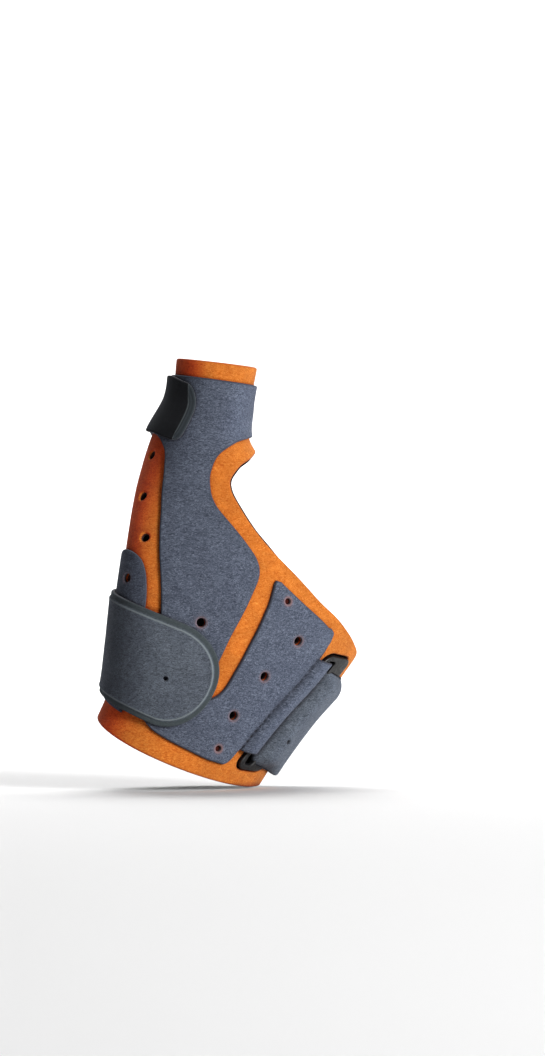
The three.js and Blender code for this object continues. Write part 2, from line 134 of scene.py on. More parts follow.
def steps_along(lay, chart, spots, directions):
    """The steps on the chart that lead one millimetre in these directions along the cloth."""
    a, b = cloth_axes(lay, chart, spots)
    aa, ab, bb = (np.sum(p * q, axis=1) for p, q in ((a, a), (a, b), (b, b)))
    da, db = np.sum(directions * a, axis=1), np.sum(directions * b, axis=1)
    return np.stack([bb * da - ab * db, aa * db - ab * da], axis=1) / (aa * bb - ab**2)[:, None]


def evenly(line, lay=place, step=0.6):
    """Spots a step apart along a line on the cloth, without its last one."""
    points = lay(line[:, 0], line[:, 1], np.zeros(len(line)))
    run = np.concatenate([[0], np.cumsum(np.linalg.norm(np.diff(points, axis=0), axis=1))])
    at = np.linspace(0, run[-1], max(2, round(run[-1] / step) + 1))[:-1]
    return np.stack([np.interp(at, run, line[:, k]) for k in (0, 1)], axis=1)


def straight(start, end, count=240):
    return np.linspace(start, end, count)


def through(rows, count=600):
    """A smooth line through the rows of a table of edges: level, from turn, to turn."""
    rows = np.array(rows, float)
    last = len(rows) - 1
    share = np.linspace(0, last, count)
    i = np.minimum(share.astype(int), last - 1)
    before, after = rows[np.maximum(i - 1, 0)], rows[np.minimum(i + 2, last)]
    slope_in, slope_out = (rows[i + 1] - before) / 2, (after - rows[i]) / 2
    return smooth_value(rows[i], rows[i + 1], slope_in, slope_out, (share - i)[:, None])


def round_hole(turn, level, bore, lay=place, chart=FORM_CHART, count=28):
    """The edge of a hole that is round on the cloth."""
    middle = np.repeat([[turn, level]], count, axis=0)
    a, b = cloth_axes(lay, chart, middle)
    across = unit(a)
    along = unit(b - np.sum(b * across, axis=1, keepdims=True) * across)
    angle = np.linspace(0, 2 * np.pi, count, endpoint=False)[:, None]
    return middle + bore / 2 * steps_along(lay, chart, middle, np.cos(angle) * across + np.sin(angle) * along)


def within(loop, spots):
    """Which spots lie inside a closed line."""
    x, y = spots.T
    found = np.zeros(len(spots), bool)
    for (x0, y0), (x1, y1) in zip(loop, np.roll(loop, -1, axis=0)):
        if y0 != y1:
            found ^= ((y0 > y) != (y1 > y)) & (x < (x1 - x0) * (y - y0) / (y1 - y0) + x0)
    return found


def joins_itself(spots):
    """Which spots lie on the line at turn 0 where a tube of cloth closes."""
    return (np.abs(spots[:, 0]) < 1e-6) | (np.abs(spots[:, 0] - 360) < 1e-6)


def mesh_piece(name, points, faces, finishes, finish_of_face, numbers=()):
    """A mesh from points in millimetres, with its materials and its numbers for them at each point."""
    mesh = bpy.data.meshes.new(name)
    mesh.from_pydata(points * MM, [], faces)
    mesh.polygons.foreach_set("material_index", finish_of_face)
    for label, values in dict(numbers).items():
        mesh.attributes.new(label, "FLOAT", "POINT").data.foreach_set("value", values)
    closed = bmesh.new()
    closed.from_mesh(mesh)
    bmesh.ops.remove_doubles(closed, verts=closed.verts, dist=2e-6)
    bmesh.ops.recalc_face_normals(closed, faces=closed.faces)
    closed.to_mesh(mesh)
    closed.free()
    mesh.polygons.foreach_set("use_smooth", [True] * len(mesh.polygons))
    for finish in finishes:
        mesh.materials.append(finish)
    piece = bpy.data.objects.new(name, mesh)
    bpy.context.scene.collection.objects.link(piece)
    return piece


EDGE_BANDS = np.array([0.08, 0.3, 0.65, 1.0, 1.6])  # rows of points beside an edge, by shares of its rounding
ROW_HEIGHT = 0.866  # rows of points in even triangles, as a share of their spacing
BAND_ROOM, FIELD_ROOM = 0.8, 0.6  # shares of its own distance or spacing that a point keeps from every edge
PAST_RIM = 9  # millimetres, further in than any pressed rim
HALO_FULL, HALO_END = 0.2, 1.0  # millimetres from a hole's edge in which its halo fades


def cut_cloth(name, edge, holes, inside, outside, finishes, lay=place, chart=FORM_CHART, soft=(0.45, 0.3),
              spacing=1.5, lines=(), relief=None, halos=(), no_rim=None):
    """Cuts cloth to an edge and its holes, lays it on the form and gives it its thickness. The finishes are
    those of the face, the cut edge, the back and the edge of a hole. soft rounds the face's and the back's
    edges, lines are more distances in from the edge with points on them, relief lifts or presses the face,
    halos names holes with a coloured rim and its strength, and no_rim says by a share where the edge has no
    pressed rim."""
    loops = [edge, *holes]
    corners = np.concatenate(loops)
    closing = np.zeros(len(corners), bool)
    if lay is place:
        closing[:len(edge)] = joins_itself(edge)
        closing[:len(edge)] &= np.roll(closing[:len(edge)], 1) & np.roll(closing[:len(edge)], -1)
    bands, band_distances, start = [], [], 0
    for number, loop in enumerate(loops):
        points = lay(loop[:, 0], loop[:, 1], np.zeros(len(loop)))
        a, b = cloth_axes(lay, chart, loop)
        run = unit(np.roll(points, -1, axis=0) - np.roll(points, 1, axis=0))
        inward = np.cross(run, unit(np.cross(b, a)))
        x, y = loop.T
        anticlockwise = np.sum(x * np.roll(y, -1) - y * np.roll(x, -1)) > 0
        if anticlockwise != (number == 0):
            inward = -inward
        step = steps_along(lay, chart, loop, inward)
        open_side = ~closing[start:start + len(loop)]
        start += len(loop)
        for distance in [*(soft[0] * EDGE_BANDS), *(lines if number == 0 else ())]:
            bands.append((loop + step * distance)[open_side])
            band_distances.append(np.full(open_side.sum(), distance))
    size = np.array(chart)
    low, high = edge.min(axis=0) * size, edge.max(axis=0) * size
    rows = [np.stack(np.meshgrid(np.arange(low[0] + spacing / 2 * (k % 2), high[0], spacing), [height]),
                     axis=-1)[0]
            for k, height in enumerate(np.arange(low[1], high[1], spacing * ROW_HEIGHT))]
    field = np.concatenate(rows) / size
    bands, band_distances = np.concatenate(bands), np.concatenate(band_distances)
    kept = within(edge, bands)
    bands, band_distances = bands[kept], band_distances[kept]
    field = field[within(edge, field)]
    spots = np.concatenate([corners, bands, field])
    if chart == (1, 1):  # a chart in millimetres, on which distances are true though the cloth is folded
        points = np.pad(spots, ((0, 0), (0, 1)))
    else:
        points = lay(spots[:, 0], spots[:, 1], np.zeros(len(spots)))

    def distance_to(border_points):
        border = kdtree.KDTree(len(border_points))
        for i, point in enumerate(border_points):
            border.insert(point, i)
        border.balance()
        return np.array([border.find(point)[2] for point in points])

    distances = distance_to(points[:len(corners)][~closing])
    rims = distance_to(points[:len(edge)][~closing[:len(edge)]])
    distances[:len(corners)][~closing] = 0
    middle = slice(len(corners), len(corners) + len(bands))
    crowded = np.zeros(len(spots), bool)
    crowded[middle] = distances[middle] < BAND_ROOM * band_distances
    distances[middle] = band_distances
    crowded[middle.stop:] = distances[middle.stop:] < FIELD_ROOM * spacing
    rims = np.where((rims < 1) & (distances < rims), distances, rims)
    spots, distances, rims = spots[~crowded], distances[~crowded], rims[~crowded]
    ring_edges, start = [], 0
    for loop in loops:
        count = len(loop)
        ring_edges += [(start + k, start + (k + 1) % count) for k in range(count)]
        start += count
    found = geometry.delaunay_2d_cdt([Vector(s) for s in spots * size], ring_edges, [], 1, 1e-6)
    cut, triangles, origins = np.array([v[:] for v in found[0]]) / size, np.array(found[2]), found[3]
    distance, rim_distance = (np.array([min([values[i] for i in origin], default=0) for origin in origins])
                              for values in (distances, rims))
    if callable(no_rim):
        rim_distance = rim_distance + PAST_RIM * no_rim(cut)
    centres = cut[triangles].mean(axis=1)
    waste = np.zeros(len(triangles), bool)
    for hole in holes:
        waste |= within(hole, centres)
    triangles = triangles[~waste]

    drop = lambda radius: radius * (1 - np.sqrt(1 - np.clip(1 - distance / radius, 0, 1)**2))
    face_lift, back_lift = outside - drop(soft[0]), inside + drop(soft[1])
    if callable(relief):
        face_lift = face_lift + relief(cut, rim_distance)
    sides = np.concatenate([triangles[:, [0, 1]], triangles[:, [1, 2]], triangles[:, [2, 0]]])
    sides, uses = np.unique(np.sort(sides, axis=1), axis=0, return_counts=True)
    rim = sides[uses == 1]
    if lay is place:
        rim = rim[~np.all(joins_itself(cut)[rim], axis=1)]
    count = len(cut)
    on_rim = np.unique(rim)
    wall_of = np.full(count, -1)
    wall_of[on_rim] = np.arange(len(on_rim))
    heights = [face_lift * (1 - share) + back_lift * share for share in (0, 1 / 3, 2 / 3, 1)]
    face_points = lay(cut[:, 0], cut[:, 1], face_lift)
    back_points = lay(cut[:, 0], cut[:, 1], back_lift)
    wall_points = [lay(cut[on_rim, 0], cut[on_rim, 1], height[on_rim]) for height in heights[1:3]]
    tiers = [lambda i: i, lambda i: 2 * count + wall_of[i], lambda i: 2 * count + len(on_rim) + wall_of[i],
             lambda i: count + i]
    faces = [*triangles.tolist(), *(triangles[:, ::-1] + count).tolist()]
    finish_of_face = [0] * len(triangles) + [2] * len(triangles)
    in_hole = np.array([any(len(edge) <= k < len(corners) for k in origin) for origin in origins])
    for upper, lower in zip(tiers, tiers[1:]):
        a, b = rim.T
        faces += np.stack([upper(a), upper(b), lower(b), lower(a)], axis=1).tolist()
        finish_of_face += np.where(in_hole[a] & in_hole[b], 3, 1).tolist()
    halo = np.zeros(count)
    for hole, strength in halos:
        centre = lay(*np.mean(holes[hole], axis=0)[:, None], np.zeros(1))
        radius = np.linalg.norm(lay(*holes[hole][:1].T, np.zeros(1)) - centre)
        from_hole = np.linalg.norm(lay(*cut.T, np.zeros(count)) - centre, axis=1) - radius
        halo = np.maximum(halo, strength * np.clip((HALO_END - from_hole) / (HALO_END - HALO_FULL), 0, 1))
    everywhere = lambda values: np.concatenate([values, values, values[on_rim], values[on_rim]])
    return mesh_piece(name, np.concatenate([face_points, back_points, *wall_points]), faces, finishes,
                      finish_of_face, {"edge_mm": everywhere(rim_distance), "halo": everywhere(halo)})


def shader(name, **sockets):
    """A material with a principled shader, its constant sockets set on the shader itself."""
    material = bpy.data.materials.new(name)
    material.use_nodes = True
    principled = material.node_tree.nodes["Principled BSDF"]
    for label, value in sockets.items():
        principled.inputs[label.replace("_", " ").title().replace("Ior", "IOR")].default_value = value
    return material, principled


def add_node(material, kind, links=(), **settings):
    """A node with its settings and sockets, and links from other sockets into it."""
    node = material.node_tree.nodes.new(kind)
    for label, value in settings.items():
        if hasattr(node, label):
            setattr(node, label, value)
        else:
            node.inputs[label.replace("_", " ")].default_value = value
    for label, source in dict(links).items():
        material.node_tree.links.new(source, node.inputs[label])
    return node


COLOUR_A, COLOUR_B, COLOUR_OUT = 6, 7, 2  # the places of a mix node's colour sockets


def colour_between(material, share, low, high, blend="MIX"):
    """A colour from low to high by a share, each of them a colour or another node's colour. With the blend
    MULTIPLY it goes from low to low times high."""
    node = add_node(material, "ShaderNodeMix", {"Factor": share}, data_type="RGBA", blend_type=blend)
    for place_of_socket, value in ((COLOUR_A, low), (COLOUR_B, high)):
        if isinstance(value, tuple):
            node.inputs[place_of_socket].default_value = (*value, 1)
        else:
            material.node_tree.links.new(value, node.inputs[place_of_socket])
    return node.outputs[COLOUR_OUT]


def share_between(material, value, low, high, start=0.0, end=1.0):
    """A number carried smoothly from low..high to start..end."""
    return add_node(material, "ShaderNodeMapRange", {"Value": value}, interpolation_type="SMOOTHSTEP",
                    From_Min=low, From_Max=high, To_Min=start, To_Max=end).outputs["Result"]


def velour(name, dark, mid, light, edge, halo, nap=0.0003, sheen=0.1, sheen_tint=(0.7, 0.75, 0.9), rim=0.5,
           line=None, painted_side_shade=(0.62, 0.62, 0.64), along=(1.3, 1.32, 1.36), painted_crease_shade=(0.4, 0.36, 0.36)):
    """Short-pile velour: curled tufts with dark gaps between, and darker beside its cut edge, where the strap
    and the tab have a pressed rim and the shell and the covers have painted shade. The colours are those of
    the gaps, the pile, its tips, that rim, the rim of a punched hole (painted shade where it marks the shell
    below the eyelets) and the line inside the rim. The last three tints paint light: shade on the side turned
    from the key lamp, a highlight on the side turned to it, and shade where ambient occlusion finds other
    surfaces within 3 mm."""
    material, principled = shader(name, roughness=0.95, sheen_weight=sheen, sheen_roughness=0.55)
    principled.inputs["Specular IOR Level"].default_value = 0.15
    principled.inputs["Sheen Tint"].default_value = (*sheen_tint, 1)
    where = add_node(material, "ShaderNodeTexCoord").outputs["Object"]
    combed = add_node(material, "ShaderNodeMapping", {"Vector": where}, Scale=(0.6, 1, 1.5)).outputs["Vector"]
    tufts = add_node(material, "ShaderNodeTexNoise", {"Vector": combed}, Scale=0.42 / nap, Detail=2.5,
                     Roughness=0.6, Distortion=1.6).outputs["Fac"]
    fibres = add_node(material, "ShaderNodeTexNoise", {"Vector": where}, Scale=1.5 / nap, Detail=2,
                      Roughness=0.7).outputs["Fac"]
    brushed = add_node(material, "ShaderNodeTexNoise", {"Vector": where}, Scale=110, Detail=3,
                       Roughness=0.6, Distortion=0.5).outputs["Fac"]
    pile = colour_between(material, share_between(material, tufts, 0.34, 0.56), dark, mid)
    tips = add_node(material, "ShaderNodeMath", {0: share_between(material, tufts, 0.5, 0.72),
                                                 1: share_between(material, fibres, 0.35, 0.65)},
                    operation="MULTIPLY").outputs[0]
    tipped = colour_between(material, tips, pile, light)
    lying = colour_between(material, share_between(material, brushed, 0.35, 0.68), tipped, (0.82, 0.82, 0.84),
                           "MULTIPLY")
    # Darker near the cut edge: a pressed rim on the strap and the tab, painted shade on the shell and the
    # covers
    near_edge = add_node(material, "ShaderNodeAttribute", attribute_name="edge_mm").outputs["Fac"]
    pressed = colour_between(material, share_between(material, near_edge, 0.7 * rim, 1.3 * rim, 0.8, 0.0),
                             lying, edge)
    if line:
        inner = share_between(material, near_edge, rim, 1.25 * rim)
        outer = share_between(material, near_edge, 1.25 * rim, 1.5 * rim, 0.75, 0.0)
        on_line = add_node(material, "ShaderNodeMath", {0: inner, 1: outer}, operation="MULTIPLY").outputs[0]
        pressed = colour_between(material, on_line, pressed, line)
    # The hole-rim colour: the orange layer showing round the covers' holes, and painted shade on the shell
    # below the eyelets
    near_hole = add_node(material, "ShaderNodeAttribute", attribute_name="halo").outputs["Fac"]
    colour = colour_between(material, near_hole, pressed, halo)
    # Painted light: darker on the side turned from the key lamp (normal towards -X), lighter on the side
    # turned to it, and darker where ambient occlusion finds other surfaces within 3 mm
    facing = add_node(material, "ShaderNodeNewGeometry").outputs["Normal"]
    sideways = add_node(material, "ShaderNodeSeparateXYZ", {0: facing}).outputs["X"]
    open_to_light = add_node(material, "ShaderNodeAmbientOcclusion", Distance=0.003, samples=6).outputs["AO"]
    for share, tint in ((share_between(material, sideways, -0.65, -0.05, 1.0, 0.0), painted_side_shade),
                        (share_between(material, sideways, 0.2, 0.85), along),
                        (share_between(material, open_to_light, 0.35, 0.9, 1.0, 0.0), painted_crease_shade)):
        colour = colour_between(material, share, colour, tint, "MULTIPLY")
    material.node_tree.links.new(colour, principled.inputs["Base Color"])
    height = add_node(material, "ShaderNodeMath", {0: fibres, 2: tufts}, operation="MULTIPLY_ADD")
    height.inputs[1].default_value = 0.35
    bump = add_node(material, "ShaderNodeBump", {"Height": height.outputs[0]}, Strength=0.75,
                    Distance=nap * 0.8)
    material.node_tree.links.new(bump.outputs[0], principled.inputs["Normal"])
    return material


def bare_foam(name, dark, light, cell=0.0003):
    """The cut edge of the foam core, with its open cells."""
    material, principled = shader(name, roughness=0.85)
    where = add_node(material, "ShaderNodeTexCoord").outputs["Object"]
    cells = add_node(material, "ShaderNodeTexVoronoi", {"Vector": where}, Scale=1 / cell).outputs["Distance"]
    cloudy = add_node(material, "ShaderNodeTexNoise", {"Vector": where}, Scale=400, Detail=3).outputs["Fac"]
    shade = add_node(material, "ShaderNodeMath", {0: cells, 1: cloudy}, operation="MULTIPLY").outputs[0]
    colour = colour_between(material, share_between(material, shade, 0.1, 0.4), dark, light)
    material.node_tree.links.new(colour, principled.inputs["Base Color"])
    bump = add_node(material, "ShaderNodeBump", {"Height": cells}, Strength=0.4, Distance=cell / 2)
    material.node_tree.links.new(bump.outputs[0], principled.inputs["Normal"])
    return material


def linear(red, green, blue):
    """A colour as the shader takes it, from one read off the cloth in 0 to 255."""
    return tuple(((c / 255 + 0.055) / 1.055)**2.4 if c > 10 else c / 255 / 12.92 for c in (red, green, blue))


# Its rim colour is painted shade along the shell's cut edges, and its dark red hole-rim colour is painted
# shade below the eyelets. Its last three tints make it redder and darker on the side turned from the key lamp
# (painted shade), lighter on the side turned to it (painted highlight) and deep red in creases (painted
# shade).
orange_velour = velour("orange_velour", linear(170, 82, 22), linear(197, 109, 37), linear(216, 142, 64),
                       linear(170, 84, 34), linear(74, 22, 14), sheen=0.08, sheen_tint=(1.0, 0.8, 0.55),
                       painted_side_shade=(0.85, 0.32, 0.3), along=(1.05, 1.15, 1.25), painted_crease_shade=(0.36, 0.14, 0.12))
pale_foam = bare_foam("pale_foam", linear(150, 112, 100), linear(206, 176, 164))
# The wall of the shell's holes: reddish foam, made almost black by painted shade deep in the narrow holes
red_foam_painted_shade = bare_foam("red_foam_painted_shade", linear(24, 9, 6), linear(62, 24, 15))
dark_lining = velour("dark_lining", linear(16, 15, 17), linear(30, 29, 33), linear(48, 47, 54),
                     linear(30, 28, 30), linear(30, 28, 30), nap=0.0009, sheen=0.1)

WINDOW = through([
    (-0.06, 8, -72), (0.05, 8, -72), (0.20, 7, -72), (0.30, 5, -71), (0.345, 6, -70), (0.368, 10, -68.5),
    (0.387, 21, -67), (0.412, 33, -64), (0.437, 43, -63), (0.462, 53, -64), (0.508, 64, -68),
    (0.554, 74, -74), (0.596, 79, -79), (0.650, 81.5, -81.5), (0.690, 82, -82), (0.724, 76, -76),
    (0.762, 58, -58), (0.785, 36, -36), (0.798, 18, -18), (0.803, 3, -3)])
PERFORATIONS = [(155, 0.746), (157, 0.603), (149, 0.483), (188, 0.489), (159, 0.367), (106.5, 0.333),
                (61, 0.362), (67.6, 0.266), (71.7, 0.159)]
PERFORATION_BORE = 3.0
RING_LEVEL, RING_TURN, RING_SLANT = 0.1975, 38.9, -37
RING_LENGTH, RING_BAR, RING_CORNER = 47.4, 2.0, 3.2
RING_SIDES, RING_GAP = (-9.5, 4.3), (-1.7, 2.3)  # from side to side beside the ring's line
RING_CLEARANCE = 0.5


def above(table, low):
    """The rows of a table from a level up, with the first one on that level."""
    first = [low, *(np.interp(low, table[:, 0], table[:, k]) for k in (1, 2))]
    return np.concatenate([[first], table[table[:, 0] > low + 1e-4]])


def tube_edge(table, low, high, hem=()):
    """The edge of a tube of cloth that is open below the last row of a table. hem holds the sides of what is
    cut out of its lower edge, from right to left."""
    rows = above(table, low)
    top = rows[-1, 0]
    close_to = np.array([0.02, 0.1, 0.3, 0.5]) / FORM_CHART[1]
    closing = np.unique(np.concatenate([np.linspace(top, high, 40), top + close_to, high - close_to]))
    left, right = rows[:, [1, 0]], rows[::-1, [2, 0]] + (360, 0)
    up_seam = np.stack([np.zeros(len(closing)), closing], axis=1)
    down_seam = np.stack([np.full(len(closing), 360.0), closing[::-1]], axis=1)
    hem_sides = [straight(start[-1], end[0]) for start, end in zip([right, *hem], [*hem, left])]
    hem_line = [side for pair in zip(hem_sides, [*hem, None]) for side in pair if side is not None]
    return np.concatenate([
        evenly(left), evenly(straight(left[-1], (0, top))), up_seam[:-1],
        evenly(straight((0, high), (360, high))), down_seam[:-1], evenly(straight((360, top), right[0])),
        evenly(right), *map(evenly, hem_line)])


def ring_line(level):
    """The turn of the slanted line along which the ring lies."""
    return RING_TURN + RING_SLANT * (level - RING_LEVEL)


def form_scale(turn, level):
    """Millimetres for a degree round the form and for a whole level up it."""
    a, b = cloth_axes(place, FORM_CHART, np.stack(np.broadcast_arrays(turn, level), axis=1).astype(float))
    return np.linalg.norm(a, axis=1), np.linalg.norm(b, axis=1)


def beside_ring(level, offset):
    """The turn that lies some millimetres beside the ring's line."""
    return ring_line(level) + offset / form_scale(ring_line(level) + offset, level)[0]


def plate_edge(sides, length, corner, count=14):
    """The edge of a round-cornered plate beside the ring's line, its two sides in millimetres from it."""
    left, right = sides
    bend = np.linspace(0, np.pi / 2, count)
    x = np.concatenate([right - corner + corner * np.cos(bend), left + corner - corner * np.sin(bend)])
    y = np.concatenate([np.sin(bend), np.cos(bend)]) * corner + length / 2 - corner
    x, y = np.concatenate([x, x[::-1]]), np.concatenate([y, -y[::-1]])
    level = RING_LEVEL + y / form_scale([RING_TURN], [RING_LEVEL])[1]
    edge = np.stack([beside_ring(level, x), level], axis=1)
    return evenly(np.concatenate([edge, edge[:1]]), step=0.5)


slot_edge = plate_edge((RING_SIDES[0] - RING_CLEARANCE, RING_SIDES[1] + RING_CLEARANCE),
                       RING_LENGTH + 2 * RING_CLEARANCE, RING_CORNER + RING_CLEARANCE)
shell = cut_cloth("shell", tube_edge(WINDOW, 0, 1),
                  [slot_edge, *(round_hole(turn, level, PERFORATION_BORE) for turn, level in PERFORATIONS)],
                  -2.2, 0, [orange_velour, pale_foam, dark_lining, red_foam_painted_shade], soft=(0.7, 0.5))
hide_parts("base_shell")
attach(shell, "root")

# Lining: a thin black sheet inside the shell, behind its holes and its slot, so that they show black. It is
# glued to the shell's back along its border and hangs a little clear of it behind the ring.
black_sheet = velour("black_sheet", linear(9, 8, 9), linear(14, 13, 14), linear(20, 19, 20), linear(12, 11, 12),
                    linear(12, 11, 12), nap=0.0008, sheen=0.02)
HOLLOW_DEPTH, HOLLOW_TURNS, HOLLOW_LEVELS, HOLLOW_SHIFT = 0.9, 26, 0.185, 4


def place_lining(turn, level, lift):
    """The lining's places, with the hollow behind the ring."""
    beside = (turn - ring_line(level) + HOLLOW_SHIFT) / HOLLOW_TURNS
    along = (level - RING_LEVEL) / HOLLOW_LEVELS
    behind_ring = np.clip(1 - beside**2, 0, 1) * np.clip(1 - along**2, 0, 1)
    return place(turn, level, lift - HOLLOW_DEPTH * behind_ring)


lining_side = WINDOW[(WINDOW[:, 0] > 0.03) & (WINDOW[:, 0] < 0.76)][:, [1, 0]] + (1.5, 0)
lining_edge = np.concatenate([evenly(side, place_lining, 1.0) for side in (
    lining_side, straight(lining_side[-1], (205, 0.76)), straight((205, 0.76), (205, 0.03)),
    straight((205, 0.03), lining_side[0]))])
lining = cut_cloth("lining", lining_edge, [], -2.85, -2.35, [black_sheet] * 4, lay=place_lining,
                   soft=(0.2, 0.2), spacing=2.5)
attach(lining, "root")

# Cover panel of the thumb: one grey velour sheet wrapped round the thumb tube and the web, laminated on the
# shell. Its two legs run down beside the thumb-side tongue and end under the wrist strap.
# Its rim colour is painted shade along the covers' cut edges; its pinkish hole-rim colour is the orange layer
# showing round the holes
grey_velour = velour("grey_velour", linear(50, 55, 66), linear(75, 81, 94), linear(116, 122, 137),
                     linear(50, 53, 62), linear(118, 92, 92))
grey_cut = bare_foam("grey_cut", linear(40, 40, 46), linear(84, 84, 92), cell=0.0002)
MARGIN = through([
    (0.090, 130, -93), (0.128, 109, -93), (0.150, 99.5, -92.5), (0.175, 93.6, -92), (0.210, 91.8, -92),
    (0.270, 91.6, -91.5), (0.340, 90.8, -91), (0.42, 88.5, -89), (0.48, 84.5, -86),
    (0.514, 84.5, -86), (0.547, 88, -88), (0.592, 94, -94), (0.632, 98.5, -98.5), (0.676, 98.5, -98.5),
    (0.726, 93, -93), (0.778, 78, -78), (0.814, 52, -52), (0.830, 26, -26), (0.836, 4, -4)])
TONGUE = through([
    (0.06, 124, 220), (0.20, 125, 219), (0.312, 127.7, 216), (0.459, 136.5, 207), (0.596, 136.5, 207),
    (0.700, 134, 210), (0.758, 133, 211), (0.786, 138, 206), (0.803, 147, 197), (0.810, 160, 184)])
LEG_END, BAND_START = 0.125, 0.960
COVER, COVER_SOFT = (0.05, 1.25), (0.55, 0.2)
COVER_FINISHES = [grey_velour, grey_cut, dark_lining, grey_cut]
gap = above(TONGUE, LEG_END)
gap_line = np.concatenate([gap[:, [2, 0]], straight(gap[-1, [2, 0]], gap[-1, [1, 0]])[1:-1],
                           gap[::-1, [1, 0]]])
thumb_edge = tube_edge(MARGIN, LEG_END, BAND_START, hem=[gap_line])
thumb_cover = cut_cloth("thumb_cover", thumb_edge, [round_hole(*PERFORATIONS[5], PERFORATION_BORE)],
                        *COVER, COVER_FINISHES, soft=COVER_SOFT, halos=[(0, 0.5)])
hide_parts("thumb_panel")
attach(thumb_cover, "root")

# Cover panel on the back of the wrist: a grey velour sheet between the window and the thumb cover. Its tongue
# goes over the near bar of the ring and back under it, which makes the raised roll beside the groove.
DORSAL = through([
    (0.042, 63, 73), (0.047, 61, 86), (0.058, 59.5, 112), (0.080, 58, 123), (0.098, 56, 122),
    (0.112, 54, 114), (0.128, 52.2, 104), (0.148, 51.2, 96), (0.172, 50.3, 89.5), (0.190, 49.6, 85),
    (0.215, 48.7, 82.7), (0.262, 47, 82), (0.340, 45, 81.2), (0.393, 44.8, 80.8), (0.408, 48, 80.4),
    (0.440, 62, 79.3), (0.466, 71, 77.8), (0.477, 74, 76.5)])
EYELETS = [(71.6, 0.438), (70.7, 0.074)]
EYELET_BORE = 2.0
TONGUE_LEVEL, TONGUE_WIDTH = 0.2105, 38.4


def fold_line(points):
    """A way over a bar of the ring: by its length, how far beside the ring's line and how high it is."""
    points = np.array(points, float)
    spread = through(np.column_stack([points, np.zeros(len(points))]))[:, :2]
    length = np.concatenate([[0], np.cumsum(np.linalg.norm(np.diff(spread, axis=0), axis=1))])
    heading = np.gradient(spread, length, axis=0)
    heading /= np.linalg.norm(heading, axis=1, keepdims=True)
    normal = np.stack([heading[:, 1], -heading[:, 0]], axis=1)
    return length, spread, normal


def on_fold(line, length, lift):
    """How far beside the ring's line and how high a point of the folded cloth is."""
    at, spread, normal = line
    beside, height = (np.interp(length, at, spread[:, k]) for k in (0, 1))
    across, up = (np.interp(length, at, normal[:, k]) for k in (0, 1))
    return beside + across * lift, height + up * lift


tongue_line = fold_line([
    (11, 0.65), (9.6, 0.6), (8.6, 0.45), (8.05, 0.55), (7.85, 1.2), (7.5, 2.0), (6.8, 2.6), (5.6, 2.9),
    (4.3, 2.85), (3.1, 2.5), (2.3, 1.9), (1.8, 1.1), (1.6, 0.1), (1.7, -1.0), (2.3, -1.75), (3.3, -1.85),
    (4.3, -1.85)])
TONGUE_START, TONGUE_REACH, COVER_MIDDLE = 11, tongue_line[0][-1], 0.65


def place_dorsal(turn, level, lift):
    """The dorsal cover's places: on the form, and from the ring's side on over the near bar."""
    lift = np.broadcast_to(lift, turn.shape)
    degrees, _ = form_scale(ring_line(level), level)
    beside = (turn - ring_line(level)) * degrees
    over, height = on_fold(tongue_line, TONGUE_START - beside, lift - COVER_MIDDLE)
    folded = beside < TONGUE_START
    return place(np.where(folded, beside_ring(level, over), turn), level, np.where(folded, height, lift))


_, up_levels = form_scale([RING_TURN], [RING_LEVEL])
tongue_low, tongue_high = TONGUE_LEVEL + np.array([-0.5, 0.5]) * TONGUE_WIDTH / up_levels
tongue_tip = TONGUE_START - TONGUE_REACH
near_side, far_side = DORSAL[:, [1, 0]], DORSAL[::-1, [2, 0]]
below, beyond = near_side[near_side[:, 1] < tongue_low], near_side[near_side[:, 1] > tongue_high]
tip_levels = np.linspace(tongue_low, tongue_high, 240)
tip = np.stack([ring_line(tip_levels) + tongue_tip / form_scale(ring_line(tip_levels), tip_levels)[0],
                tip_levels], axis=1)
dorsal_edge = np.concatenate([evenly(side, place_dorsal) for side in (
    below, straight(below[-1], tip[0]), tip, straight(tip[-1], beyond[0]), beyond,
    straight(beyond[-1], far_side[0]), far_side, straight(far_side[-1], below[0]))])
dorsal_holes = [round_hole(*spot, PERFORATION_BORE, place_dorsal) for spot in PERFORATIONS[6:]]
dorsal_holes += [round_hole(*spot, EYELET_BORE, place_dorsal) for spot in EYELETS]
dorsal_cover = cut_cloth("dorsal_cover", dorsal_edge, dorsal_holes, *COVER, COVER_FINISHES,
                         lay=place_dorsal, soft=COVER_SOFT, spacing=0.7,
                         halos=[(0, 0.5), (1, 0.5), (2, 0.5), (3, 1.0), (4, 1.0)])

# The two eyelets end on the shell; painted shade darkens the shell to its dark red hole-rim colour within 2.5
# mm below each of them
SHADE_RADIUS = 2.5 * MM
under_eyelets = place(*np.array(EYELETS).T, np.zeros(len(EYELETS))) * MM
for vertex, number in zip(shell.data.vertices, shell.data.attributes["halo"].data):
    if min(np.linalg.norm(under_eyelets - vertex.co, axis=1)) < SHADE_RADIUS:
        number.value = 1
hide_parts("dorsal_panel")
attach(dorsal_cover, "root")

# Cover panel on the thumb side: a small grey velour sheet with a round top, laminated on the bare tongue of
# the shell. Its lower end goes under the wrist strap.
RADIAL = through([
    (0.060, 140, 186), (0.200, 139, 187), (0.312, 138.5, 187), (0.380, 142, 184), (0.417, 147, 179),
    (0.431, 153, 173), (0.436, 160, 166)])
radial_left, radial_right = RADIAL[:, [1, 0]], RADIAL[::-1, [2, 0]]
radial_edge = np.concatenate([evenly(side) for side in (
    radial_left, straight(radial_left[-1], radial_right[0]), radial_right,
    straight(radial_right[-1], radial_left[0]))])
radial_cover = cut_cloth("radial_cover", radial_edge, [round_hole(*PERFORATIONS[4], PERFORATION_BORE)],
                         *COVER, COVER_FINISHES, soft=COVER_SOFT, halos=[(0, 0.3)])
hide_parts("radial_panel")
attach(radial_cover, "root")

